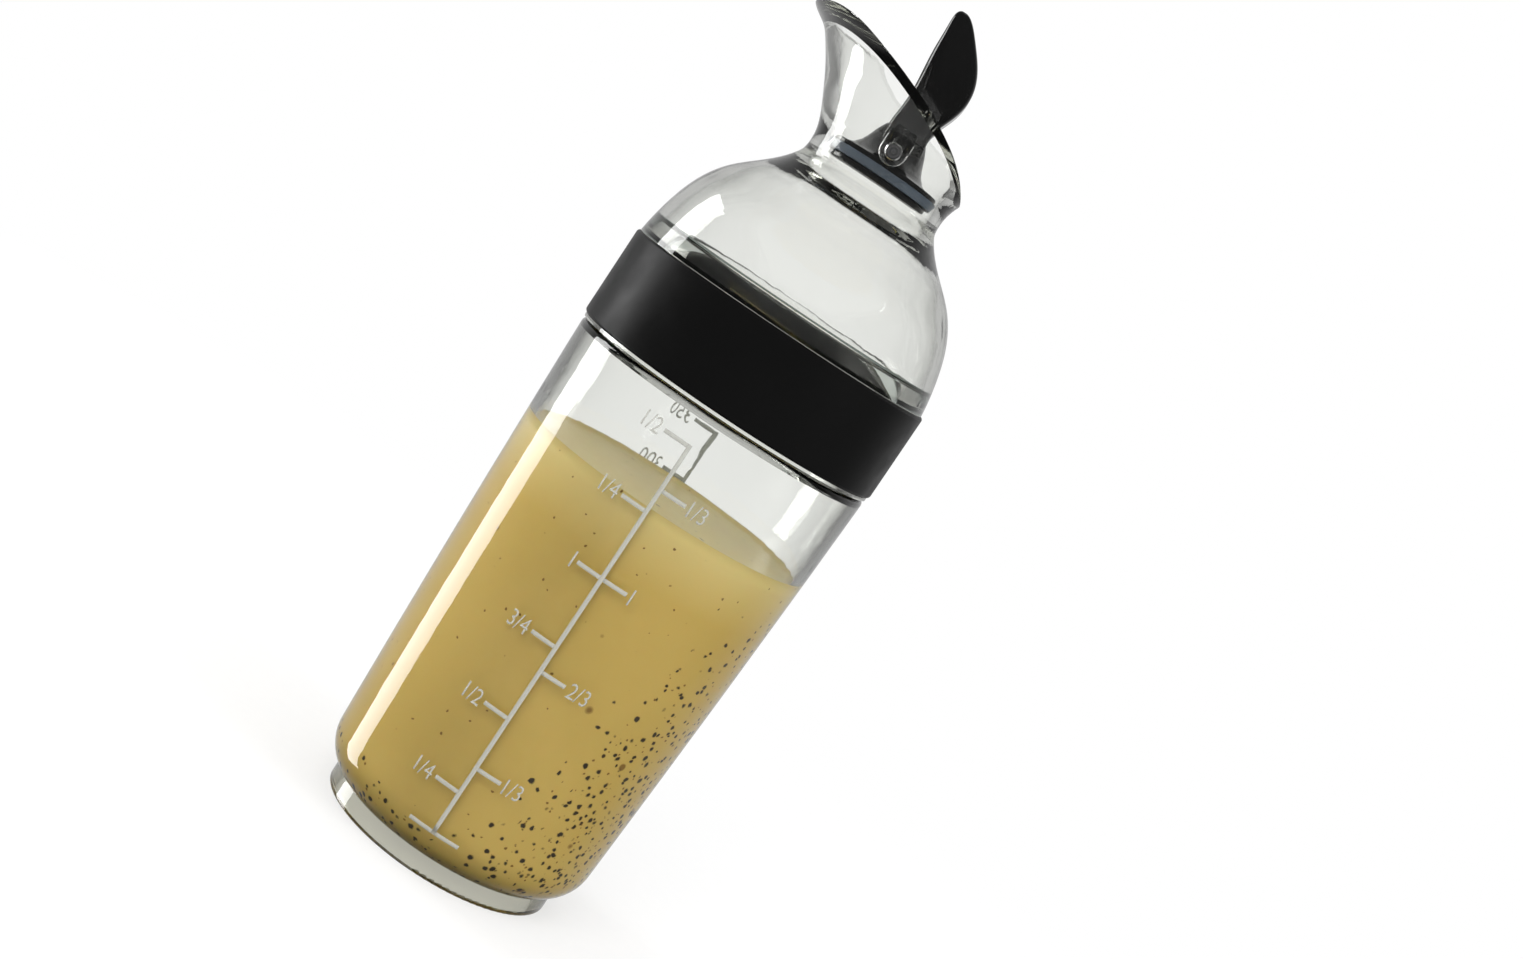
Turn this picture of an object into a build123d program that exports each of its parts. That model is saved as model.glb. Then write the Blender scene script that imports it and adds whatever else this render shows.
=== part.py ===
"""Salad dressing shaker: a clear bottle, a screw-on domed lid with a flared spout, and a thumb lever valve.

Millimetres, +Z up. The origin lies on the bottle's axis, in the plane that it stands on. The pouring lip
points to -X, the lever swings back towards +X, and the lever's pin lies along Y.
"""
import math
import os

from build123d import *

# Container, a clear tumbler on a foot ring that narrows from its shoulder down to its heel
SHOULDER_R = 36.9
SHOULDER_Z = 117.5
BELLY_TAPER = 1.6
BELLY_Z = 66.0
HEEL_TAPER = 3.8
HEEL_ROUND = 9.5
FOOT_STEP = 4.8
FOOT_WALL = 2.6
FOOT_HEIGHT = 4.8
FOOT_EDGE = 0.7
SHOULDER_ROUND = 1.2
WALL = 2.2
FLOOR = 2.2
SHOULDER_RISE = 0.5
SHOULDER_SKIN = 1.3
NECK_STEP = 3.9
NECK_WALL = 2.2
NECK_HEIGHT = 20.1
RIM_ROUND = 0.6

# Screw thread between container and lid
THREAD_LEAD = 12.0
THREAD_STARTS = 2
THREAD_DEPTH = 1.1
THREAD_ROOT = 2.2
THREAD_CREST = 1.2
THREAD_SINK = 0.3
THREAD_PLAY = 0.3
THREAD_GAP = 0.4
THREAD_FOOT = 6.5
THREAD_HEAD = 3.6
LID_THREAD_TURN = 150

# Ring that seals the lid on the container's rim
RIM_SEAL_THICKNESS = 1.6
RIM_SEAL_WIDTH = 2.8
RIM_SEAL_GAP = 0.3

# Lid: threaded skirt, inner ledge and dome
SKIRT_GAP = 0.3
SKIRT_WALL = 1.4
SKIRT_LIP = 0.8
SKIRT_LIP_STEP = 0.1
SKIRT_STEP_DROP = 2.0
LEDGE_THICKNESS = 5.7
LEDGE_ROUND = 1.5
DOME_HEIGHT = 36.9
DOME_WALL = 2.2
WAIST_R = 16.92
WAIST_WALL = 2.62
WELD_DROP = 1.1
WELD_LINE = 0.05

# Dome outline between its base and the waist: share of the way out, share of the way up. It leaves the
# base that many times as steeply as the straight way to the waist, and its inner wall follows it at the
# inner shares.
DOME_SHARES = ((0.915, 0.245), (0.815, 0.408), (0.605, 0.592), (0.160, 0.820), (0.036, 0.907))
DOME_STEEPNESS_SHARE = 5
DOME_INNER_SHARES = (0.0, 0.2, 0.4, 0.6, 0.8)

# Soft grip band round the skirt
SLEEVE_THICKNESS = 1.55
SLEEVE_OVER_NECK = 1.2
SLEEVE_FIT = 0.05
SLEEVE_ROUND = 0.7

# Spout: a funnel that flares from the waist to the lip, cut low at the back
LIP_REACH = 15.48
LIP_HEIGHT = 24.8
SPOUT_WALL = 3.2
RIM_BEVEL = 1.2

# Spout outline from the waist to the lip: share of the way out, share of the way up. It ends that many
# times as flat as the straight way from the waist, and its inner wall follows it at the inner shares.
SPOUT_SHARES = ((0.079, 0.214), (0.239, 0.415), (0.406, 0.601), (0.593, 0.774), (0.742, 0.883), (1.0, 1.0),
                (1.06, 1.03))
SPOUT_FLATNESS_SHARE = 5
SPOUT_INNER_SHARES = (0.35, 0.5, 0.65, 0.8, 1.0)

# Rim line seen from the side: place along X as a share of the lip's radius, height as a share of the lip's
RIM_SHARES = ((-1.12, 0.955), (-1.0, 1.0), (-0.802, 1.024), (-0.500, 0.948), (-0.148, 0.798),
              (0.148, 0.637), (0.398, 0.448), (0.552, 0.242), (0.62, 0.060))

# Pin and the bosses that hold its ends
PIN_R = 1.85
PIN_RISE = 6.4
PIN_END_CHAMFER = 0.35
PIN_DIMPLE_R = 0.4
PIN_GROOVE_R = 1.1
PIN_GROOVE_WIDTH = 0.3
PIN_GROOVE_DEPTH = 0.25
PIN_SEAT_FIT = 0.02
PIN_RUNNING_FIT = 0.05
PIN_RECESS = 0.25
BOSS_PROUD = 3.48
BOSS_HALF_WIDTH = 3.1
BOSS_LENGTH = 5.6
BOSS_ROUND = 0.8

# Valve: disc on the lever, silicone ring and lower plate
DISC_DROP = 2.0
DISC_MARGIN = 0.7
DISC_THICKNESS = 1.3
DISC_EDGE = 0.3
SEAL_THICKNESS = 2.1
SEAL_WIDTH = 5.85
SEAL_GAP = 0.35
SEAL_LAND = 0.5
PLATE_THICKNESS = 1.7
PLATE_MARGIN = 0.1
PLATE_EDGE = 0.4
SOCKET_WALL = 2.0
SOCKET_FIT = 0.05
SOCKET_END_GAP = 0.1
HUB_WALL = 1.6
SNAP_HEIGHT = 0.8
SNAP_DEPTH = 0.25

# Lever: a post that rises from the disc to a leaf-shaped thumb piece
LEVER_HEIGHT = 33.7
LEVER_FRONT = 5.7
LEVER_BACK = 7.0
LEVER_SIDE_ROOM = 6.3
LEVER_CORNER_SHARE = 0.2
FLARE_STEP = 0.6
FLARE_TOP_R = 5.0
FLARE_HEIGHT = 7.5
FLARE_BEND = 12.0

# Lever's cross sections: height above the pin, reach to the front, reach to the back, width, all as shares
LEVER_SHARES = ((-0.042, 0.81, 0.70, 0.775), (0.15, 0.79, 0.70, 0.775), (0.32, 0.755, 0.77, 0.86),
                (0.626, 0.895, 0.985, 1.0), (0.804, 0.965, 0.50, 0.975), (0.932, 1.0, -0.04, 0.875),
                (0.979, 0.95, -0.29, 0.775), (1.0, 0.81, -0.49, 0.65))

# Heights that follow from the sizes above
RIM_Z = SHOULDER_Z + NECK_HEIGHT
SKIRT_Z = SHOULDER_Z + SKIRT_GAP
SLEEVE_Z = SKIRT_Z + SKIRT_LIP
DOME_Z = SLEEVE_Z + NECK_HEIGHT + SLEEVE_OVER_NECK
WAIST_Z = DOME_Z + DOME_HEIGHT
WELD_Z = WAIST_Z - WELD_DROP
LIP_Z = WAIST_Z + LIP_HEIGHT
PIN_Z = WAIST_Z + PIN_RISE
DISC_TOP_Z = PIN_Z - DISC_DROP
SEAL_TOP_Z = DISC_TOP_Z - DISC_THICKNESS
PLATE_TOP_Z = SEAL_TOP_Z - SEAL_THICKNESS
PLATE_Z = PLATE_TOP_Z - PLATE_THICKNESS
LEDGE_Z = RIM_Z + RIM_SEAL_THICKNESS
LEDGE_TOP_Z = LEDGE_Z + LEDGE_THICKNESS

# Radii that follow from the sizes above
HEEL_R = SHOULDER_R - HEEL_TAPER
BELLY_R = SHOULDER_R - BELLY_TAPER
FOOT_R = HEEL_R - FOOT_STEP
NECK_R = SHOULDER_R - NECK_STEP
DOME_R = SHOULDER_R
SKIRT_LIP_R = SHOULDER_R + SKIRT_LIP_STEP
BORE_R = WAIST_R - WAIST_WALL
THREAD_BORE_R = NECK_R + THREAD_DEPTH + THREAD_GAP
SLEEVE_SEAT_R = THREAD_BORE_R + SKIRT_WALL
SLEEVE_R = SLEEVE_SEAT_R + SLEEVE_FIT + SLEEVE_THICKNESS
NECK_BORE_R = NECK_R - NECK_WALL
LEDGE_BORE_R = NECK_BORE_R
RIM_SEAL_OUTER_R = NECK_BORE_R + RIM_SEAL_WIDTH
RIM_SEAL_POCKET_R = RIM_SEAL_OUTER_R + RIM_SEAL_GAP
SEAL_R = BORE_R - SEAL_GAP
SOCKET_OUTER_R = SEAL_R - SEAL_WIDTH - SOCKET_FIT
SOCKET_R = SOCKET_OUTER_R - SOCKET_WALL
HUB_R = SOCKET_R - SOCKET_FIT
HUB_BORE_R = HUB_R - HUB_WALL
DISC_R = BORE_R - DISC_MARGIN
FLARE_R = DISC_R - FLARE_STEP
LIP_R = WAIST_R + LIP_REACH
BOSS_FACE = WAIST_R + BOSS_PROUD
LEVER_WIDTH = 2 * (BORE_R - LEVER_SIDE_ROOM)


def section(*edges):
    """Face in the XZ plane bounded by edges drawn with x as radius and y as height."""
    return Plane.XZ * make_face(edges)


def turned(*edges):
    """Solid turned round Z from a half section."""
    return revolve(section(*edges), axis=Axis.Z)


def disc(radius, bottom, top):
    """Solid cylinder round Z between two heights."""
    return Pos(0, 0, bottom) * Cylinder(radius, top - bottom, align=(Align.CENTER, Align.CENTER, Align.MIN))


def ring(outer_radius, inner_radius, bottom, top):
    """Flat ring round Z between two heights."""
    return disc(outer_radius, bottom, top) - disc(inner_radius, bottom, top)


def inset(curve, depth, places):
    """Points at a depth inside a curve, at the given places along it, on its left side."""
    points = []
    for place in places:
        direction = curve.tangent_at(place)
        points.append(curve.position_at(place) + Vector(-direction.Y, direction.X) * depth)
    return points


def at_swing(depth, margin=0.0):
    """Radius at a depth below the pin that passes the bore when the valve turns about the pin."""
    swing = math.hypot(SEAL_R, PIN_Z - SEAL_TOP_Z)
    return math.sqrt(swing ** 2 - depth ** 2) - margin


def thread(radius, depth, foot, turn):
    """Helical ridges on a wall, standing out by depth, or inwards where the depth is negative."""
    side = math.copysign(1, depth)
    path = Helix(THREAD_LEAD, THREAD_LEAD * turn / 360, radius, center=(0, 0, foot))
    profile = Plane(origin=path @ 0, x_dir=(1, 0, 0), z_dir=path % 0) * make_face(Polyline(
        (-side * THREAD_SINK, -THREAD_ROOT / 2), (depth, -THREAD_CREST / 2), (depth, THREAD_CREST / 2),
        (-side * THREAD_SINK, THREAD_ROOT / 2), close=True))
    ridge = sweep(profile, path=path, is_frenet=True)
    return [Rot(0, 0, 360 * start / THREAD_STARTS) * ridge for start in range(THREAD_STARTS)]


def make_container():
    """Clear tumbler: foot ring, rounded heel, slightly bulging wall, stepped-in threaded neck."""
    heel_run = HEEL_ROUND - (HEEL_R - FOOT_R)
    heel_z = FOOT_HEIGHT + math.sqrt(HEEL_ROUND ** 2 - heel_run ** 2)
    heel_mid = (HEEL_R - HEEL_ROUND * (1 - math.cos(math.pi / 5)),
                heel_z - HEEL_ROUND * math.sin(math.pi / 5))
    outside = turned(
        Polyline((SHOULDER_R, SHOULDER_Z), (0, SHOULDER_Z), (0, FOOT_HEIGHT), (FOOT_R, FOOT_HEIGHT)),
        ThreePointArc((FOOT_R, FOOT_HEIGHT), heel_mid, (HEEL_R, heel_z)),
        ThreePointArc((HEEL_R, heel_z), (BELLY_R, BELLY_Z), (SHOULDER_R, SHOULDER_Z)))
    outside = fillet(outside.edges().filter_by(GeomType.CIRCLE).sort_by(Axis.Z)[-1], SHOULDER_ROUND)
    foot = ring(FOOT_R, FOOT_R - FOOT_WALL, 0, FOOT_HEIGHT + FLOOR / 2)
    foot = fillet(foot.edges().filter_by(GeomType.CIRCLE).group_by(Axis.Z)[0], FOOT_EDGE)
    neck = disc(NECK_R, SHOULDER_Z - SHOULDER_SKIN, RIM_Z)

    floor_z = FOOT_HEIGHT + FLOOR
    inner_round = HEEL_ROUND - WALL
    inner_heel_z = floor_z + inner_round
    inner_top_z = SHOULDER_Z - SHOULDER_SKIN
    inner_mid = (HEEL_R - WALL - inner_round * (1 - math.cos(math.pi / 4)),
                 inner_heel_z - inner_round * math.sin(math.pi / 4))
    inside = turned(
        Polyline((NECK_BORE_R, inner_top_z), (NECK_BORE_R, RIM_Z), (0, RIM_Z), (0, floor_z),
                 (HEEL_R - WALL - inner_round, floor_z)),
        ThreePointArc((HEEL_R - WALL - inner_round, floor_z), inner_mid, (HEEL_R - WALL, inner_heel_z)),
        ThreePointArc((HEEL_R - WALL, inner_heel_z), (BELLY_R - WALL, BELLY_Z),
                      (SHOULDER_R - WALL, inner_top_z - SHOULDER_RISE)),
        Line((SHOULDER_R - WALL, inner_top_z - SHOULDER_RISE), (NECK_BORE_R, inner_top_z)))
    body = outside + foot + neck - inside
    body = fillet(body.edges().filter_by(GeomType.CIRCLE).group_by(Axis.Z)[-1], RIM_ROUND)
    thread_turn = 360 * (NECK_HEIGHT - THREAD_FOOT - THREAD_HEAD) / THREAD_LEAD
    return body + thread(NECK_R, THREAD_DEPTH, SHOULDER_Z + THREAD_FOOT, thread_turn)


def make_rim_gasket():
    """Silicone ring between the container's rim and the lid's inner ledge."""
    return ring(RIM_SEAL_OUTER_R, NECK_BORE_R, RIM_Z, LEDGE_Z)


def dome_curve():
    """Outer line of the dome, from its base up to the waist."""
    reach = DOME_R - WAIST_R
    middle = [(WAIST_R + reach * out, DOME_Z + DOME_HEIGHT * up) for out, up in DOME_SHARES]
    return Spline((DOME_R, DOME_Z), *middle, (WAIST_R, WAIST_Z),
                  tangents=[(-reach, DOME_HEIGHT * DOME_STEEPNESS_SHARE), (0, 1)])


def spout_curve():
    """Outer line of the funnel, from the waist to just past the lip."""
    points = [(WAIST_R + LIP_REACH * out, WAIST_Z + LIP_HEIGHT * up) for out, up in SPOUT_SHARES]
    return Spline((WAIST_R, WAIST_Z), *points,
                  tangents=[(0, 1), (LIP_REACH * SPOUT_FLATNESS_SHARE, LIP_HEIGHT)])


def clear_shell():
    """Dome and funnel in one: a turned shell from the dome's base to past the lip."""
    dome = dome_curve()
    funnel = spout_curve()
    brim = funnel @ 1
    outside = turned(
        Polyline(brim, (0, brim.Y), (0, DOME_Z), (DOME_R, DOME_Z)), dome, funnel)

    below = inset(dome, DOME_WALL, DOME_INNER_SHARES)
    above = inset(funnel, SPOUT_WALL, SPOUT_INNER_SHARES)
    throat_z = PLATE_Z - PLATE_THICKNESS
    over_brim_z = brim.Y + SPOUT_WALL
    inside = turned(
        Spline(*below, (BORE_R, throat_z), tangents=[dome % 0, (0, 1)]),
        Line((BORE_R, throat_z), (BORE_R, SEAL_TOP_Z)),
        Spline((BORE_R, SEAL_TOP_Z), *above, tangents=[(0, 1), funnel % 1]),
        Polyline(above[-1], (above[-1].X, over_brim_z), (0, over_brim_z), (0, below[0].Y), below[0]))
    return outside, inside


def make_lid_dome():
    """Lid: threaded skirt with a lower lip, inner ledge over the rim seal, and the dome up to the weld."""
    outside, inside = clear_shell()
    skirt = disc(SLEEVE_SEAT_R, SKIRT_Z, DOME_Z) + disc(SKIRT_LIP_R, SKIRT_Z, SLEEVE_Z)
    cavity = inside & disc(DOME_R, LEDGE_TOP_Z, LIP_Z)
    mouth = disc(LEDGE_BORE_R, SKIRT_Z, LEDGE_TOP_Z)
    pocket = disc(RIM_SEAL_POCKET_R, SKIRT_Z, LEDGE_Z)
    thread_bore = disc(THREAD_BORE_R, SKIRT_Z, RIM_Z - SKIRT_STEP_DROP)
    lid = split(outside, bisect_by=Plane.XY.offset(WELD_Z), keep=Keep.BOTTOM) + skirt
    lid = lid - cavity - mouth - pocket - thread_bore
    ledge_edge = lid.edges().filter_by(GeomType.CIRCLE).filter_by(
        lambda edge: abs(edge.radius - LEDGE_BORE_R) < RIM_SEAL_GAP).sort_by(Axis.Z)[-1]
    lid = fillet(ledge_edge, LEDGE_ROUND)
    thread_foot = SHOULDER_Z + THREAD_FOOT - (THREAD_ROOT + THREAD_CREST) / 2 - THREAD_PLAY
    return lid + thread(THREAD_BORE_R, -THREAD_DEPTH, thread_foot, LID_THREAD_TURN)


def make_spout():
    """Flared funnel above the weld, cut along the rim line, with a boss each side for the pin's ends."""
    outside, inside = clear_shell()
    body = split(outside, bisect_by=Plane.XY.offset(WELD_Z + WELD_LINE), keep=Keep.TOP)
    boss_top = Rectangle(2 * BOSS_HALF_WIDTH, BOSS_LENGTH, align=(Align.CENTER, Align.MIN))
    boss_side = Pos(0, PIN_Z) * Circle(BOSS_HALF_WIDTH) + Pos(0, PIN_Z) * boss_top
    boss = extrude(Plane.XZ * boss_side, BOSS_FACE, both=True)
    body += fillet(boss.faces().filter_by(Axis.Y).edges(), BOSS_ROUND)
    body -= inside

    rim = Spline(*[(LIP_R * out, WAIST_Z + LIP_HEIGHT * up) for out, up in RIM_SHARES])
    above_z = LIP_Z + LIP_HEIGHT
    back_x = (rim @ 1).X + LIP_R
    over_rim = section(rim, Polyline(rim @ 1, (back_x, (rim @ 1).Y), (back_x, above_z),
                                     ((rim @ 0).X, above_z), rim @ 0))
    body -= extrude(over_rim, 2 * LIP_R, both=True)
    rim_faces = body.faces().filter_by(GeomType.EXTRUSION)
    body = chamfer([face.edges().sort_by(SortBy.LENGTH)[-2] for face in rim_faces], RIM_BEVEL)
    pin_hole = Cylinder(PIN_R + PIN_SEAT_FIT, 2 * (BOSS_FACE + SPOUT_WALL), rotation=(90, 0, 0))
    return body - Pos(0, 0, PIN_Z) * pin_hole


def make_grip_sleeve():
    """Soft band that sits in the groove between the skirt's lip and the dome's base."""
    band = ring(SLEEVE_R, SLEEVE_SEAT_R + SLEEVE_FIT, SLEEVE_Z + SLEEVE_FIT, DOME_Z - SLEEVE_FIT)
    outer_edges = band.edges().filter_by(GeomType.CIRCLE).group_by(lambda edge: edge.radius)[-1]
    return fillet(outer_edges, SLEEVE_ROUND)


def make_pivot_pin():
    """Steel pin across the funnel, with chamfered ends, each with a ring groove round a small dimple."""
    half = BOSS_FACE - PIN_RECESS
    pin = Cylinder(PIN_R, 2 * half)
    pin = chamfer(pin.edges().filter_by(GeomType.CIRCLE), PIN_END_CHAMFER)
    for end in (-1, 1):
        pin -= Pos(0, 0, end * half) * Cylinder(PIN_DIMPLE_R, 2 * PIN_GROOVE_DEPTH)
        pin -= Pos(0, 0, end * half) * (Cylinder(PIN_GROOVE_R, 2 * PIN_GROOVE_DEPTH)
                                        - Cylinder(PIN_GROOVE_R - PIN_GROOVE_WIDTH, 2 * PIN_GROOVE_DEPTH))
    return Pos(0, 0, PIN_Z) * Rot(90, 0, 0) * pin


def make_lever():
    """Lever in one moulding: valve disc with its socket, trumpet foot, post and thumb piece."""
    sections = []
    for up, forward, backward, wide in LEVER_SHARES:
        front = -LEVER_FRONT * forward
        depth = LEVER_BACK * backward - front
        outline = RectangleRounded(depth, LEVER_WIDTH * wide, depth * LEVER_CORNER_SHARE)
        sections.append(Pos(front + depth / 2, 0, PIN_Z + LEVER_HEIGHT * up) * outline)
    blade = loft(sections)

    flare = turned(
        Polyline((FLARE_R, DISC_TOP_Z), (0, DISC_TOP_Z), (0, DISC_TOP_Z + FLARE_HEIGHT),
                 (FLARE_TOP_R, DISC_TOP_Z + FLARE_HEIGHT)),
        RadiusArc((FLARE_TOP_R, DISC_TOP_Z + FLARE_HEIGHT), (FLARE_R, DISC_TOP_Z), -FLARE_BEND))
    plate = disc(DISC_R, SEAL_TOP_Z, DISC_TOP_Z)
    plate = fillet(plate.edges().filter_by(GeomType.CIRCLE), DISC_EDGE)
    socket = ring(SOCKET_OUTER_R, SOCKET_R, PLATE_TOP_Z + SOCKET_END_GAP, SEAL_TOP_Z)
    groove_z = (PLATE_TOP_Z + SEAL_TOP_Z) / 2
    groove = disc(SOCKET_R + SNAP_DEPTH, groove_z - SNAP_HEIGHT / 2, groove_z + SNAP_HEIGHT / 2)
    lever = blade + flare + plate + socket
    lever -= groove
    bore = Cylinder(PIN_R + PIN_RUNNING_FIT, 2 * BOSS_FACE, rotation=(90, 0, 0))
    return lever - Pos(0, 0, PIN_Z) * bore


def make_valve_gasket():
    """Silicone ring held between the disc and the lower plate, tapered so that it clears the bore."""
    inner = SEAL_R - SEAL_WIDTH
    land_r = at_swing(PIN_Z - SEAL_TOP_Z + SEAL_LAND)
    return turned(Polyline(
        (inner, SEAL_TOP_Z), (SEAL_R, SEAL_TOP_Z), (land_r, SEAL_TOP_Z - SEAL_LAND),
        (at_swing(PIN_Z - PLATE_TOP_Z), PLATE_TOP_Z), (inner, PLATE_TOP_Z), close=True))


def make_valve_plate():
    """Lower plate with a hollow hub that snaps into the lever's socket."""
    plate = disc(at_swing(PIN_Z - PLATE_Z, PLATE_MARGIN), PLATE_Z, PLATE_TOP_Z)
    plate = fillet(plate.edges().filter_by(GeomType.CIRCLE), PLATE_EDGE)
    hub_top = SEAL_TOP_Z - SOCKET_END_GAP
    bead_z = (PLATE_TOP_Z + SEAL_TOP_Z) / 2
    bead_half = (SNAP_HEIGHT - SOCKET_FIT) / 2 - SOCKET_FIT
    hub = ring(HUB_R, HUB_BORE_R, PLATE_TOP_Z, hub_top)
    bead = ring(HUB_R + SNAP_DEPTH - SOCKET_FIT, HUB_BORE_R, bead_z - bead_half, bead_z + bead_half)
    return plate + hub + bead


PARTS = {
    "container": make_container,
    "rim_gasket": make_rim_gasket,
    "lid_dome": make_lid_dome,
    "spout": make_spout,
    "grip_sleeve": make_grip_sleeve,
    "pivot_pin": make_pivot_pin,
    "lever": make_lever,
    "valve_gasket": make_valve_gasket,
    "valve_plate": make_valve_plate,
}

os.makedirs("parts", exist_ok=True)
for name, make in PARTS.items():
    export_step(make(), f"parts/{name}.step")
    print(name)
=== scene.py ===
"""Looks for the salad dressing shaker: clear plastic, dressing, printed scale, black lever and band."""
import math

import bmesh
import bpy
from mathutils import Matrix, Vector


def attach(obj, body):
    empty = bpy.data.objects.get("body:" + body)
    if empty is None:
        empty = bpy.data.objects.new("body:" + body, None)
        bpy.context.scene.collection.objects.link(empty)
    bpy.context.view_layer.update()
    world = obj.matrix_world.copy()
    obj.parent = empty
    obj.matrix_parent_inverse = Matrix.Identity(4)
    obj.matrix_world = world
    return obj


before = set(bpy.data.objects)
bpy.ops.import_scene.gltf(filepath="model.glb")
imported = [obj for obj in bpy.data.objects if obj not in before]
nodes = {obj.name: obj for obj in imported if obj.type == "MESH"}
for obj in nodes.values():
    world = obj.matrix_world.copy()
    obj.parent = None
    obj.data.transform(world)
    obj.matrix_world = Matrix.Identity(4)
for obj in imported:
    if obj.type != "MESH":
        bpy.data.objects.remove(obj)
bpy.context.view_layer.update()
MM = 0.001

# Camera, at the photograph's angle
CAMERA_PLACE = (10.66 * MM, -472.5 * MM, 155.6 * MM)
CAMERA_PAN = 0.588
CAMERA_TILT = 5.66
CAMERA_ROLL = 33.90
CAMERA_LENS = 50.745
SENSOR_WIDTH = 36.0
CLIP_START = 10.0 * MM

# Inside of the container: its floor, its rounded heel, and heights up its wall with their radii
FLOOR_Z = 7.0 * MM
HEEL_INNER_R = 23.6 * MM
HEEL_ROUND = 7.3 * MM
WALL_SHAPE = ((14.3 * MM, 30.9 * MM), (66.0 * MM, 33.1 * MM), (115.7 * MM, 34.7 * MM))
FILL_Z = 93.6 * MM
FILL_OVERLAP = 0.12 * MM
MENISCUS = 0.9 * MM
MENISCUS_REACH = 2.7 * MM
MENISCUS_POWER = 2.2
HEEL_STEPS = 12
WALL_STEPS = 24
MENISCUS_STEPS = 8
SURFACE_SHARES = (0.75, 0.5, 0.25)
TURN_STEPS = 160

# Dressing: cream near its surface, and seeds that have sunk to the bottom and towards +X. Here and
# below, clouds, patches and grain are lumps per metre
CREAM_Z = 80.0 * MM
SEDIMENT_SLOPE = 4.3
SEDIMENT_START = 1.0 * MM
SEDIMENT_FULL = 19.0 * MM
SEDIMENT_THIN_Z = 52.0 * MM
SEDIMENT_BED_Z = 9.0 * MM
SEDIMENT_BED_TOP_Z = 14.0 * MM
SEDIMENT_BED_SHARE = 0.6
CREAM_CLOUDS = 38.0
CREAM_DETAIL = 4.0
CREAM_SWIRL = 0.8
CREAM_DARK = (0.510, 0.355, 0.082)
CREAM_LIGHT = (0.610, 0.430, 0.120)
CREAM_TOP_DARK = (0.640, 0.500, 0.190)
CREAM_TOP_LIGHT = (0.700, 0.560, 0.240)
CREAM_PATCHES = 200
CREAM_ROUGH = (0.28, 0.42)
CREAM_GRAIN = 260
CREAM_LUMP = 0.012 * MM
CREAM_GLOW_SHARE = 0.12
CREAM_GLOW_DEPTH = 1.5 * MM

# Specks: width of a cell, radius, share of cells kept where nothing and where all has sunk, and colour
SPECK_LAYERS = (dict(cell=6.0 * MM, size=1.30 * MM, least=0.08, most=0.45, colour=(0.23, 0.125, 0.025)),
                dict(cell=1.7 * MM, size=0.42 * MM, least=0.12, most=0.80, colour=(0.19, 0.095, 0.020)),
                dict(cell=1.75 * MM, size=0.82 * MM, least=0.0, most=1.0, colour=(0.022, 0.013, 0.006)))
SMALLEST_SPECK_SHARE = 0.45
SPECK_CORE_SHARE = 0.65
WOBBLE = 0.9 * MM
WOBBLE_CELLS = 1.2
WOBBLE_DETAIL = 2.0

# Scale of measures: each mark's volume in millilitres and its height
MARKS = ((59.15, 21.8 * MM), (78.86, 28.3 * MM), (118.3, 41.0 * MM), (157.7, 53.3 * MM), (177.4, 59.3 * MM),
         (236.6, 76.8 * MM), (295.7, 93.6 * MM), (315.5, 99.0 * MM), (354.9, 109.7 * MM))
QUARTERS = ((0, "1/4"), (2, "1/2"), (4, "3/4"), (5, "1"), (6, "1/4"), (8, "1/2"))
THIRDS = ((1, "1/3"), (3, "2/3"), (5, "1"), (7, "1/3"))
ML_STEPS = range(50, 351, 50)
SCALE_FOOT_Z = 11.0 * MM
SCALE_AZIMUTH = -1.25
ML_AZIMUTH = 179.0
LINE_WIDTH = 0.95 * MM
TICK_LENGTH = 5.7 * MM
LABEL_GAP = 0.9 * MM
LABEL_HEIGHT = 3.7 * MM
LABEL_SQUEEZE = 0.78
INK_LIFT = 0.03 * MM
INK_THICKNESS = 0.03 * MM
CELL = 0.8 * MM
CELL_HEIGHT = 3.2 * MM
CURVE_STEPS = 3
PLACE_DIGITS = 8

# The container's rough outer radius, and a radius outside it from which its wall is found
WALL_R = 36.0 * MM
OUTSIDE_R = 60.0 * MM

# Surroundings as they light a surface; what is mirrored is dim in front, at -Y, and bright at the back
SURROUND_LEVEL = 0.86
MIRROR_FRONT_LEVEL = 0.08
MIRROR_BACK_LEVEL = 0.62
MIRROR_FRONT_SHARE = 0.15
MIRROR_BACK_SHARE = 0.85
WHITE = (1, 1, 1, 1)

# Bounces of a ray are whole numbers, so below this there is none
FIRST_BOUNCE = 0.5

# Soft lamps in metres and watts, which polished and clear pieces mirror or not
LEFT_PANEL = dict(place=(-0.649, 0.160, 0.04), aim=(0, 0, 0.04),
                  width=0.24, height=0.90, power=4.7, mirrored=True)
KEY_PANEL = dict(place=(-0.25, -0.75, 0.62), aim=(0, 0, 0.12),
                 width=0.50, height=0.50, power=4.0, mirrored=False)
RIGHT_PANEL = dict(place=(0.75, -0.30, 0.35), aim=(0, 0, 0.12),
                   width=0.30, height=0.60, power=3.6, mirrored=False)

# The floor and its fade to white
FLOOR_R = 6.0
FLOOR_SIDES = 96
FLOOR_GRAIN = 300
FLOOR_GREY = (0.84, 0.88)
FLOOR_WHITE_NEAR = 0.55
FLOOR_FADE_START = 0.09
FLOOR_FADE_END = 0.40

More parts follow.
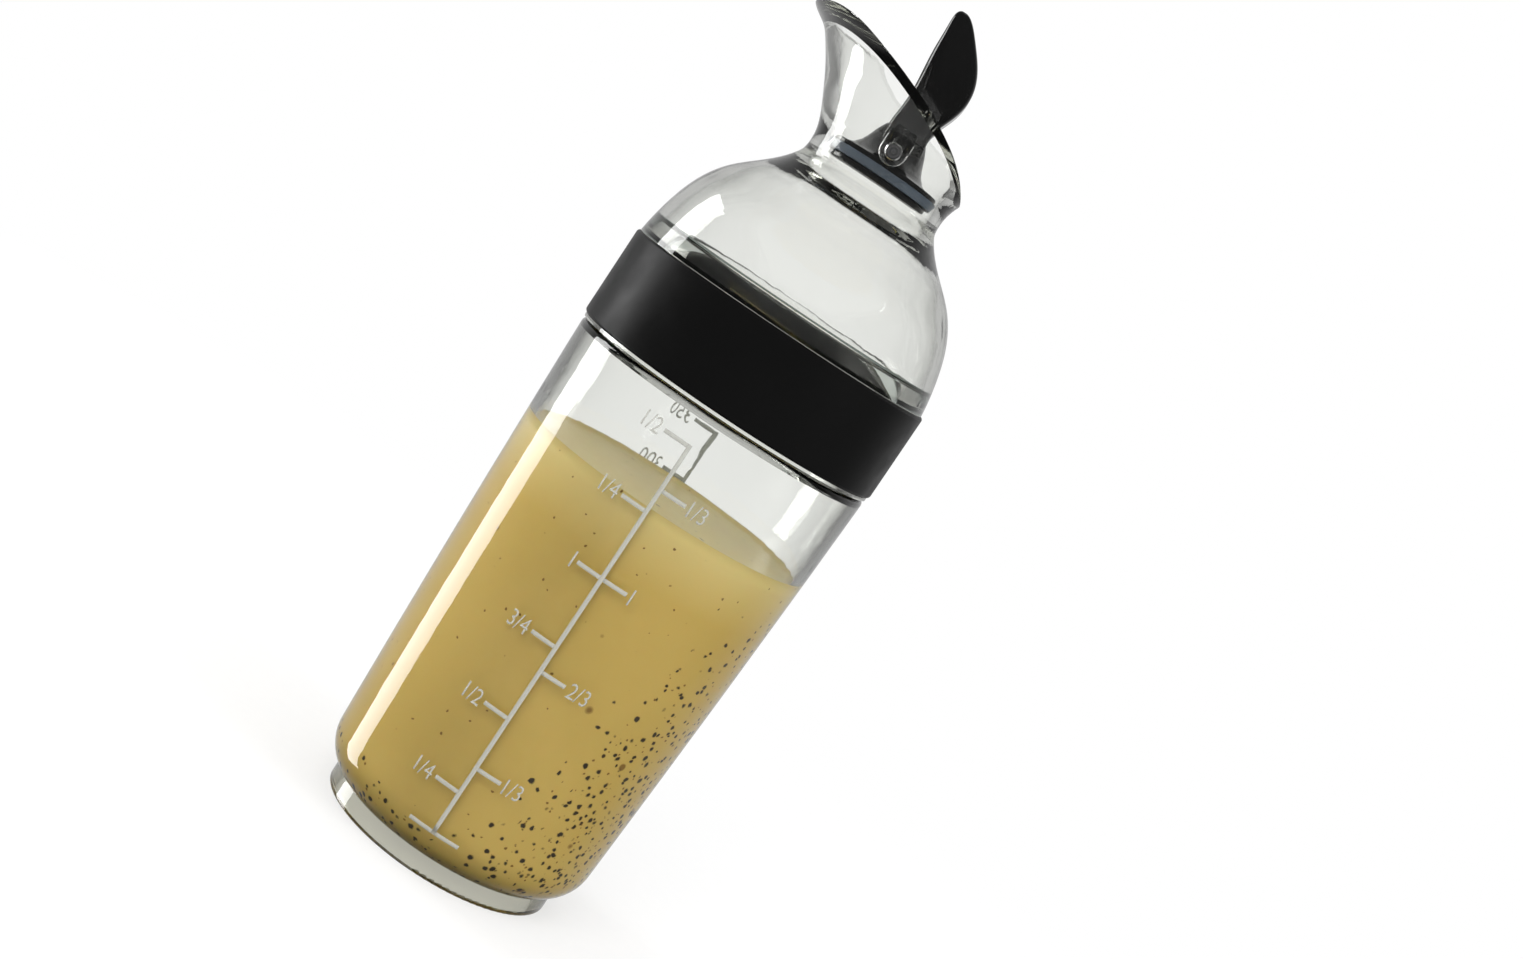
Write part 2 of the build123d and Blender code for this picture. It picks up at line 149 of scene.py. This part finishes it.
# Clear plastic, its painted dark olive edge shade and the foot's darker tone; densities are absorption per
# metre
CLEAR_IOR = 1.52
CLEAR_CLOUDS = 60
CLEAR_ROUGH = (0.0, 0.05)
CLEAR_WAVES = 90
CLEAR_WAVE_DETAIL = 1.0
CLEAR_WAVE_LUMP = 0.02 * MM
CLEAR_WAVE_SHARE = 0.6
CLEAR_SHADOW = (0.93, 0.94, 0.92, 1)
CLEAR_DEPTH_COLOUR = (0.50, 0.52, 0.40, 1)
CONTAINER_DENSITY = 48.0
LID_DENSITY = 40.0
SPOUT_DENSITY = 24.0
FOOT_TONE = (0.74, 0.73, 0.65)
FOOT_TONE_Z = 5.0 * MM
FOOT_TONE_TOP_Z = 7.0 * MM
CLEAR_TONE = (0.99, 0.995, 0.985)
# Painted shade: a dark olive mixed into the colour wherever the plastic is seen edge-on, and how fast it
# grows
PAINTED_EDGE_SHADE_FALLOFF = 4.5
PAINTED_EDGE_SHADE = (0.085, 0.095, 0.055)

# Opaque pieces: colour, range of roughness, and the grain's lumps per metre and their height
PLAIN_CLOUDS = 40
PLAIN_PATCHES = 150
PATCH_RANGE = (0.3, 0.7)
GRIP = dict(colour=(0.004, 0.004, 0.004), rough=(0.32, 0.44), grain=2500, lump=0.015 * MM,
            Specular_IOR_Level=0.10)
LEVER = dict(colour=(0.004, 0.004, 0.004), rough=(0.05, 0.12), grain=120, lump=0.02 * MM)
PLATE = dict(colour=(0.006, 0.006, 0.006), rough=(0.10, 0.20), grain=120, lump=0.02 * MM)
VALVE_SEAL = dict(colour=(0.070, 0.090, 0.120), rough=(0.25, 0.40), grain=900, lump=0.01 * MM)
RIM_SEAL = dict(colour=(0.62, 0.66, 0.68), rough=(0.35, 0.50), grain=900, lump=0.01 * MM)
INK = dict(colour=(0.44, 0.44, 0.40), rough=(0.40, 0.55), grain=4000, lump=0.004 * MM,
           variation=0.05, Alpha=0.72)

# The steel pin and its turning rings
PIN_Z = 183.2 * MM
RING_SCALE = 420.0
RING_WAVER = 0.4
RING_DEPTH = 0.03 * MM
STEEL_DARK = (0.52, 0.52, 0.53)
STEEL_LIGHT = (0.80, 0.80, 0.80)
STEEL_PATCHES = 900
STEEL_ROUGH = (0.12, 0.26)

# Sockets of the Mix node that hold its colours
MIX_FIRST = 6
MIX_SECOND = 7
MIX_RESULT = 2


def new_material(name):
    """An empty node material, its tree and its output node."""
    made = bpy.data.materials.new(name)
    made.use_nodes = True
    tree = made.node_tree
    tree.nodes.clear()
    return made, tree, tree.nodes.new("ShaderNodeOutputMaterial")


def feed(tree, socket, value):
    """Gives an input its value: a number or colour is set, and another node's output is linked."""
    if isinstance(value, bpy.types.NodeSocket):
        tree.links.new(value, socket)
    else:
        socket.default_value = value


def add(tree, kind, **sockets):
    """A node with some of its inputs given by name."""
    node = tree.nodes.new(kind)
    for name, value in sockets.items():
        feed(tree, node.inputs[name.replace("_", " ")], value)
    return node


def coords(tree):
    """Coordinates of the piece in metres."""
    return tree.nodes.new("ShaderNodeTexCoord").outputs["Object"]


def axes(tree, vector):
    """The X, Y and Z of a vector."""
    return add(tree, "ShaderNodeSeparateXYZ", Vector=vector).outputs


def spread(tree, value, low, high, from_low=0.0, from_high=1.0):
    """value carried over from one range to another."""
    node = add(tree, "ShaderNodeMapRange", Value=value, From_Min=from_low, From_Max=from_high,
               To_Min=low, To_Max=high)
    return node.outputs["Result"]


def math_node(tree, operation, a, b=0.0):
    """One Math node's result."""
    node = tree.nodes.new("ShaderNodeMath")
    node.operation = operation
    feed(tree, node.inputs[0], a)
    feed(tree, node.inputs[1], b)
    return node.outputs[0]


def mix_colours(tree, share, first, second):
    """Two colours mixed by a share."""
    node = tree.nodes.new("ShaderNodeMix")
    node.data_type = "RGBA"
    tree.links.new(share, node.inputs["Factor"])
    for place, value in ((MIX_FIRST, first), (MIX_SECOND, second)):
        feed(tree, node.inputs[place], value if isinstance(value, bpy.types.NodeSocket) else (*value, 1))
    return node.outputs[MIX_RESULT]


def noise(tree, scale, detail=3.0):
    """A noise value over the piece, with scale in lumps per metre."""
    return add(tree, "ShaderNodeTexNoise", Vector=coords(tree), Scale=scale, Detail=detail).outputs["Fac"]


def bump(tree, height, distance, strength=1.0):
    """Bump from a height value, with distance in metres."""
    node = add(tree, "ShaderNodeBump", Height=height, Strength=strength, Distance=distance)
    return node.outputs["Normal"]


def clear_plastic(name, density):
    """Polished clear plastic that lets lamps through, turns olive where it is thick, and has painted dark
    olive shade where it is seen edge-on.
    """
    made, tree, out = new_material(name)
    rough = spread(tree, noise(tree, CLEAR_CLOUDS), *CLEAR_ROUGH)
    facing = tree.nodes.new("ShaderNodeLayerWeight").outputs["Facing"]
    # Painted shade: surfaces seen edge-on get a dark olive mixed into their colour
    edge = math_node(tree, "POWER", facing, PAINTED_EDGE_SHADE_FALLOFF)
    above_foot = spread(tree, axes(tree, coords(tree))["Z"], 0.0, 1.0, FOOT_TONE_Z, FOOT_TONE_TOP_Z)
    tone_and_painted_edge_shade = mix_colours(tree, edge, mix_colours(tree, above_foot, FOOT_TONE, CLEAR_TONE), PAINTED_EDGE_SHADE)
    waves = bump(tree, noise(tree, CLEAR_WAVES, CLEAR_WAVE_DETAIL), CLEAR_WAVE_LUMP, CLEAR_WAVE_SHARE)
    body = add(tree, "ShaderNodeBsdfPrincipled", Roughness=rough, Base_Color=tone_and_painted_edge_shade, Normal=waves,
               Transmission_Weight=1.0, IOR=CLEAR_IOR)
    through = add(tree, "ShaderNodeBsdfTransparent", Color=CLEAR_SHADOW)
    path = tree.nodes.new("ShaderNodeLightPath")
    whole = mix_shaders(tree, path.outputs["Is Shadow Ray"], body.outputs[0], through.outputs[0])
    tree.links.new(whole, out.inputs["Surface"])
    inside = add(tree, "ShaderNodeVolumeAbsorption", Color=CLEAR_DEPTH_COLOUR, Density=density)
    tree.links.new(inside.outputs[0], out.inputs["Volume"])
    return made


def plain(name, colour, rough, grain, lump, variation=0.15, **extra):
    """An opaque moulded surface: slightly uneven colour and roughness, and a fine grain."""
    made, tree, out = new_material(name)
    lighter = tuple(min(1.0, c * (1 + variation)) for c in colour)
    darker = tuple(c * (1 - variation) for c in colour)
    tone = mix_colours(tree, noise(tree, PLAIN_CLOUDS), darker, lighter)
    patches = spread(tree, noise(tree, PLAIN_PATCHES), *rough, *PATCH_RANGE)
    body = add(tree, "ShaderNodeBsdfPrincipled", Base_Color=tone, Roughness=patches,
               Normal=bump(tree, noise(tree, grain), lump), **extra)
    tree.links.new(body.outputs[0], out.inputs["Surface"])
    return made


def turned_steel(name, centre):
    """Bright steel with turning rings round the pin's axis."""
    made, tree, out = new_material(name)
    moved = add(tree, "ShaderNodeMapping", Vector=coords(tree))
    moved.inputs["Location"].default_value = (0, 0, -centre)
    rings = add(tree, "ShaderNodeTexWave", Vector=moved.outputs[0], Scale=RING_SCALE, Distortion=RING_WAVER)
    rings.wave_type = "RINGS"
    rings.rings_direction = "Y"
    rough = spread(tree, noise(tree, STEEL_PATCHES), *STEEL_ROUGH)
    tone = mix_colours(tree, rings.outputs["Fac"], STEEL_DARK, STEEL_LIGHT)
    body = add(tree, "ShaderNodeBsdfPrincipled", Base_Color=tone, Roughness=rough,
               Normal=bump(tree, rings.outputs["Fac"], RING_DEPTH), Metallic=1.0)
    tree.links.new(body.outputs[0], out.inputs["Surface"])
    return made


def specks(tree, cell, size, share):
    """Mask of round specks: one in each cell of that width, kept at random by a share that may vary."""
    wobble = add(tree, "ShaderNodeTexNoise", Vector=coords(tree), Scale=WOBBLE_CELLS / cell,
                 Detail=WOBBLE_DETAIL)
    shift = tree.nodes.new("ShaderNodeVectorMath")
    shift.operation = "MULTIPLY_ADD"
    tree.links.new(wobble.outputs["Color"], shift.inputs[0])
    shift.inputs[1].default_value = (WOBBLE, WOBBLE, WOBBLE)
    tree.links.new(coords(tree), shift.inputs[2])
    cells = add(tree, "ShaderNodeTexVoronoi", Vector=shift.outputs[0], Scale=1 / cell)
    random = tree.nodes.new("ShaderNodeSeparateColor")
    tree.links.new(cells.outputs["Color"], random.inputs[0])
    kept = math_node(tree, "LESS_THAN", random.outputs[0], share)
    radius = spread(tree, random.outputs[1], SMALLEST_SPECK_SHARE * size / cell, size / cell)
    depth = math_node(tree, "DIVIDE", cells.outputs["Distance"], radius)
    spot = spread(tree, depth, 1.0, 0.0, SPECK_CORE_SHARE, 1.0)
    return math_node(tree, "MULTIPLY", spot, kept)


def dressing_material():
    """Mustard dressing: creamy, a little lighter at the top, with herbs and seeds that have sunk."""
    made, tree, out = new_material("mustard_dressing")
    place = axes(tree, coords(tree))
    drop = math_node(tree, "DIVIDE", place["Z"], SEDIMENT_SLOPE)
    lean = math_node(tree, "SUBTRACT", place["X"], drop)
    side = spread(tree, lean, 0.0, 1.0, SEDIMENT_START, SEDIMENT_FULL)
    thinning = spread(tree, place["Z"], 1.0, 0.0, SEDIMENT_THIN_Z, FILL_Z)
    sunk = math_node(tree, "MULTIPLY", side, thinning)
    bottom = spread(tree, place["Z"], SEDIMENT_BED_SHARE, 0.0, SEDIMENT_BED_Z, SEDIMENT_BED_TOP_Z)
    settled = math_node(tree, "MAXIMUM", sunk, bottom)
    clouds = add(tree, "ShaderNodeTexNoise", Vector=coords(tree), Scale=CREAM_CLOUDS, Detail=CREAM_DETAIL,
                 Distortion=CREAM_SWIRL)
    height = spread(tree, place["Z"], 0.0, 1.0, CREAM_Z, FILL_Z)
    base = mix_colours(tree, clouds.outputs["Fac"], CREAM_DARK, CREAM_LIGHT)
    pale = mix_colours(tree, clouds.outputs["Fac"], CREAM_TOP_DARK, CREAM_TOP_LIGHT)
    tone = mix_colours(tree, height, base, pale)
    for layer in SPECK_LAYERS:
        share = spread(tree, settled, layer["least"], layer["most"])
        tone = mix_colours(tree, specks(tree, layer["cell"], layer["size"], share), tone, layer["colour"])
    rough = spread(tree, noise(tree, CREAM_PATCHES), *CREAM_ROUGH)
    body = add(tree, "ShaderNodeBsdfPrincipled", Base_Color=tone, Roughness=rough,
               Normal=bump(tree, noise(tree, CREAM_GRAIN), CREAM_LUMP),
               Subsurface_Weight=CREAM_GLOW_SHARE, Subsurface_Scale=CREAM_GLOW_DEPTH)
    tree.links.new(body.outputs[0], out.inputs["Surface"])
    return made


def dress(node, made):
    """Gives a CAD node its material."""
    nodes[node].data.materials.clear()
    nodes[node].data.materials.append(made)


def piece(name, body, made):
    """A new object from a bmesh, smooth, that rides on the container's body."""
    mesh = bpy.data.meshes.new(name)
    bmesh.ops.recalc_face_normals(body, faces=body.faces)
    body.to_mesh(mesh)
    body.free()
    for face in mesh.polygons:
        face.use_smooth = True
    mesh.materials.append(made)
    thing = bpy.data.objects.new(name, mesh)
    bpy.context.scene.collection.objects.link(thing)
    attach(thing, "base")


def wall_radius(z):
    """Radius of the container's inside at a height on its wall, on a parabola through three points."""
    (z0, r0), (z1, r1), (z2, r2) = WALL_SHAPE
    return (r0 * (z - z1) * (z - z2) / ((z0 - z1) * (z0 - z2))
            + r1 * (z - z0) * (z - z2) / ((z1 - z0) * (z1 - z2))
            + r2 * (z - z0) * (z - z1) / ((z2 - z0) * (z2 - z1)))


def dressing_outline():
    """Half section of the dressing, from the middle of the floor round to the middle of its surface."""
    points = [(0, FLOOR_Z - FILL_OVERLAP), (HEEL_INNER_R / 2, FLOOR_Z - FILL_OVERLAP)]
    low = FLOOR_Z + HEEL_ROUND
    reach = HEEL_ROUND + FILL_OVERLAP
    for step in range(HEEL_STEPS + 1):
        turn = math.radians(90 * step / HEEL_STEPS)
        points.append((HEEL_INNER_R + reach * math.sin(turn), low - reach * math.cos(turn)))
    for step in range(1, WALL_STEPS + 1):
        z = low + (FILL_Z + MENISCUS - low) * step / WALL_STEPS
        points.append((wall_radius(z) + FILL_OVERLAP, z))
    rim = wall_radius(FILL_Z)
    for step in range(1, MENISCUS_STEPS + 1):
        share = step / MENISCUS_STEPS
        points.append((rim - MENISCUS_REACH * share, FILL_Z + MENISCUS * (1 - share) ** MENISCUS_POWER))
    for share in SURFACE_SHARES:
        points.append((rim * share, FILL_Z))
    points.append((0, FILL_Z))
    return points


def make_dressing():
    """The dressing, turned round the axis and reaching a little into the wall, so that no air shows."""
    body = bmesh.new()
    rings = []
    for radius, z in dressing_outline():
        if radius == 0:
            rings.append([body.verts.new((0, 0, z))])
            continue
        ring = []
        for step in range(TURN_STEPS):
            turn = 2 * math.pi * step / TURN_STEPS
            ring.append(body.verts.new((radius * math.cos(turn), radius * math.sin(turn), z)))
        rings.append(ring)
    for lower, upper in zip(rings, rings[1:]):
        for step in range(TURN_STEPS):
            after = (step + 1) % TURN_STEPS
            corners = [lower[step % len(lower)], lower[after % len(lower)],
                       upper[after % len(upper)], upper[step % len(upper)]]
            body.faces.new(list(dict.fromkeys(corners)))
    piece("dressing", body, dressing_material())


def on_wall(azimuth, across, z, lift):
    """Point on the container's outer wall, across from an azimuth and lifted off the wall."""
    outside = wall_hit(azimuth, across, z)
    turn = math.radians(azimuth) + across / outside
    return Vector((math.sin(turn), -math.cos(turn), 0)) * (outside + lift) + Vector((0, 0, z))


def wall_hit(azimuth, across, z):
    """Radius of the container's outer wall where a ray from outside meets it."""
    turn = math.radians(azimuth) + across / WALL_R
    way = Vector((math.sin(turn), -math.cos(turn), 0))
    start = way * OUTSIDE_R + Vector((0, 0, z))
    hit, point, _, _ = nodes["container"].ray_cast(start, -way)
    return Vector((point.x, point.y)).length if hit else WALL_R


def add_ink(body, azimuth, shape):
    """Adds a flat shape of faces, given as lists of (across, z), as a thin raised film on the wall."""
    layers = []
    for lift in (INK_LIFT, INK_LIFT + INK_THICKNESS):
        layers.append({})
        for face in shape:
            for point in face:
                if point not in layers[-1]:
                    layers[-1][point] = body.verts.new(on_wall(azimuth, *point, lift))
    for face in shape:
        body.faces.new([layers[0][p] for p in face])
        body.faces.new([layers[1][p] for p in reversed(face)])
    edges = dict.fromkeys(edge for face in shape for edge in zip(face, face[1:] + face[:1]))
    for a, b in edges:
        if (b, a) not in edges:
            body.faces.new([layers[0][b], layers[0][a], layers[1][a], layers[1][b]])


def bar(left, right, low, high):
    """A rectangle of small cells between two places across and two heights."""
    columns = max(1, math.ceil((right - left) / CELL))
    rows = max(1, math.ceil((high - low) / CELL_HEIGHT))
    xs = [left + (right - left) * i / columns for i in range(columns + 1)]
    zs = [low + (high - low) * i / rows for i in range(rows + 1)]
    return [[(xs[i], zs[j]), (xs[i + 1], zs[j]), (xs[i + 1], zs[j + 1]), (xs[i], zs[j + 1])]
            for i in range(columns) for j in range(rows)]


def label(words, edge, z, to_left):
    """Faces of a number, beside an edge and centred on a height."""
    curve = bpy.data.curves.new("number", "FONT")
    curve.body = words
    curve.resolution_u = CURVE_STEPS
    holder = bpy.data.objects.new("number", curve)
    mesh = bpy.data.meshes.new_from_object(holder)
    across = [vertex.co.x for vertex in mesh.vertices]
    up = [vertex.co.y for vertex in mesh.vertices]
    first, last = min(across), max(across)
    low, high = min(up), max(up)
    size = LABEL_HEIGHT / (high - low)
    width = (last - first) * size * LABEL_SQUEEZE
    start = edge - width if to_left else edge
    faces = []
    for face in mesh.polygons:
        points = [mesh.vertices[i].co for i in face.vertices]
        faces.append([(round(start + (p.x - first) * size * LABEL_SQUEEZE, PLACE_DIGITS),
                       round(z + (p.y - (low + high) / 2) * size, PLACE_DIGITS)) for p in points])
    bpy.data.objects.remove(holder)
    bpy.data.curves.remove(curve)
    bpy.data.meshes.remove(mesh)
    return faces


def height_of(volume):
    """Height of a volume, between the marks of the scale or past them."""
    marks = list(zip(MARKS, MARKS[1:]))
    (v0, z0), (v1, z1) = next((pair for pair in marks if volume <= pair[1][0]), marks[-1])
    return z0 + (z1 - z0) * (volume - v0) / (v1 - v0)


def tick(z, to_left):
    """A mark's line on one side of the scale's line."""
    near, far = LINE_WIDTH / 2, TICK_LENGTH + LINE_WIDTH / 2
    span = (-far, -near) if to_left else (near, far)
    return bar(*span, z - LINE_WIDTH / 2, z + LINE_WIDTH / 2)


def make_cup_scale(ink):
    """Front scale: a line up the wall, quarters to its left and thirds to its right."""
    body = bmesh.new()
    half = LINE_WIDTH / 2
    add_ink(body, SCALE_AZIMUTH, bar(-half, half, SCALE_FOOT_Z, MARKS[-1][1] + half))
    add_ink(body, SCALE_AZIMUTH, tick(SCALE_FOOT_Z + half, True))
    add_ink(body, SCALE_AZIMUTH, tick(SCALE_FOOT_Z + half, False))
    edge = TICK_LENGTH + half + LABEL_GAP
    for marks, to_left in ((QUARTERS, True), (THIRDS, False)):
        for index, words in marks:
            z = MARKS[index][1]
            add_ink(body, SCALE_AZIMUTH, tick(z, to_left))
            add_ink(body, SCALE_AZIMUTH, label(words, -edge if to_left else edge, z, to_left))
    piece("cup_scale", body, ink)


def make_ml_scale(ink):
    """Back scale: the same volumes in steps of fifty millilitres."""
    body = bmesh.new()
    half = LINE_WIDTH / 2
    add_ink(body, ML_AZIMUTH, bar(-half, half, SCALE_FOOT_Z, height_of(ML_STEPS[-1]) + half))
    for volume in ML_STEPS:
        z = height_of(volume)
        add_ink(body, ML_AZIMUTH, tick(z, False))
        add_ink(body, ML_AZIMUTH, label(str(volume), TICK_LENGTH + half + LABEL_GAP, z, False))
    piece("ml_scale", body, ink)


def area_lamp(name, place, aim, width, height, power, mirrored):
    """A rectangular soft lamp, which polished and clear pieces may mirror or not."""
    data = bpy.data.lights.new(name, "AREA")
    data.shape = "RECTANGLE"
    data.size = width
    data.size_y = height
    data.energy = power
    lamp = bpy.data.objects.new(name, data)
    lamp.location = place
    lamp.rotation_mode = "QUATERNION"
    lamp.rotation_quaternion = (Vector(aim) - Vector(place)).to_track_quat("-Z", "Y")
    lamp.visible_glossy = mirrored
    lamp.visible_transmission = mirrored
    bpy.context.scene.collection.objects.link(lamp)


def seen_straight(tree):
    """1 on the way from the camera, also through clear pieces, and 0 once a ray has bounced."""
    path = tree.nodes.new("ShaderNodeLightPath")
    seen = math_node(tree, "MAXIMUM", path.outputs["Is Camera Ray"], path.outputs["Is Transmission Ray"])
    bounces = math_node(tree, "ADD", path.outputs["Glossy Depth"], path.outputs["Diffuse Depth"])
    return math_node(tree, "MULTIPLY", seen, math_node(tree, "LESS_THAN", bounces, FIRST_BOUNCE))


def background(tree, level):
    """A white background of that strength."""
    return add(tree, "ShaderNodeBackground", Color=WHITE, Strength=level).outputs[0]


def mix_shaders(tree, share, first, second):
    """Two shaders mixed by a share."""
    mixed = tree.nodes.new("ShaderNodeMixShader")
    for socket, value in zip(mixed.inputs, (share, first, second)):
        tree.links.new(value, socket)
    return mixed.outputs[0]


def make_world():
    """White surroundings, mirrored by the pieces as a lit back and a dim front."""
    world = bpy.data.worlds.new("studio")
    bpy.context.scene.world = world
    world.use_nodes = True
    tree = world.node_tree
    tree.nodes.clear()
    out = tree.nodes.new("ShaderNodeOutputWorld")
    path = tree.nodes.new("ShaderNodeLightPath")
    mirrored = math_node(tree, "GREATER_THAN", path.outputs["Glossy Depth"], FIRST_BOUNCE)
    way = axes(tree, tree.nodes.new("ShaderNodeTexCoord").outputs["Generated"])
    level = spread(tree, way["Y"], MIRROR_FRONT_LEVEL, MIRROR_BACK_LEVEL,
                   MIRROR_FRONT_SHARE, MIRROR_BACK_SHARE)
    soft = mix_shaders(tree, mirrored, background(tree, SURROUND_LEVEL), background(tree, level))
    whole = mix_shaders(tree, seen_straight(tree), soft, background(tree, 1.0))
    tree.links.new(whole, out.inputs[0])


def make_floor():
    """Pale floor that keeps the shadow near the bottle and turns white further out."""
    made, tree, out = new_material("floor_paper")
    away = add(tree, "ShaderNodeVectorMath", Vector=coords(tree))
    away.operation = "LENGTH"
    faded = spread(tree, away.outputs["Value"], FLOOR_WHITE_NEAR, 1.0, FLOOR_FADE_START, FLOOR_FADE_END)
    grain = spread(tree, noise(tree, FLOOR_GRAIN), *FLOOR_GREY)
    tone = tree.nodes.new("ShaderNodeCombineColor")
    for socket in tone.inputs:
        tree.links.new(grain, socket)
    paper = add(tree, "ShaderNodeBsdfDiffuse", Color=tone.outputs[0])
    white = add(tree, "ShaderNodeEmission", Color=WHITE, Strength=1.0)
    share = math_node(tree, "MULTIPLY", seen_straight(tree), faded)
    tree.links.new(mix_shaders(tree, share, paper.outputs[0], white.outputs[0]), out.inputs["Surface"])
    body = bmesh.new()
    bmesh.ops.create_circle(body, cap_ends=True, radius=FLOOR_R, segments=FLOOR_SIDES)
    mesh = bpy.data.meshes.new("floor")
    body.to_mesh(mesh)
    body.free()
    mesh.materials.append(made)
    floor = bpy.data.objects.new("floor", mesh)
    bpy.context.scene.collection.objects.link(floor)
    floor.visible_glossy = False


def make_camera():
    """Camera at the photograph's place, tilt and roll."""
    data = bpy.data.cameras.new("camera")
    data.lens = CAMERA_LENS
    data.sensor_width = SENSOR_WIDTH
    data.clip_start = CLIP_START
    camera = bpy.data.objects.new("camera", data)
    turned = (Matrix.Rotation(math.radians(-CAMERA_PAN), 4, "Z")
              @ Matrix.Rotation(math.radians(90 - CAMERA_TILT), 4, "X")
              @ Matrix.Rotation(math.radians(CAMERA_ROLL), 4, "Z"))
    camera.matrix_world = Matrix.Translation(CAMERA_PLACE) @ turned
    bpy.context.scene.collection.objects.link(camera)
    bpy.context.scene.camera = camera


make_camera()
make_world()
make_floor()
bpy.context.scene.view_settings.view_transform = "Standard"
area_lamp("left_panel", **LEFT_PANEL)
area_lamp("key_panel", **KEY_PANEL)
area_lamp("right_panel", **RIGHT_PANEL)

dress("container", clear_plastic("clear_container", CONTAINER_DENSITY))
dress("lid_dome", clear_plastic("clear_lid", LID_DENSITY))
dress("spout", clear_plastic("clear_spout", SPOUT_DENSITY))
dress("grip_sleeve", plain("satin_black_grip", **GRIP))
dress("lever", plain("gloss_black_lever", **LEVER))
dress("valve_plate", plain("black_plate", **PLATE))
dress("valve_gasket", plain("grey_silicone", **VALVE_SEAL))
dress("rim_gasket", plain("pale_silicone", **RIM_SEAL))
dress("pivot_pin", turned_steel("turned_steel", PIN_Z))
make_dressing()
printed = plain("scale_ink", **INK)
make_cup_scale(printed)
make_ml_scale(printed)
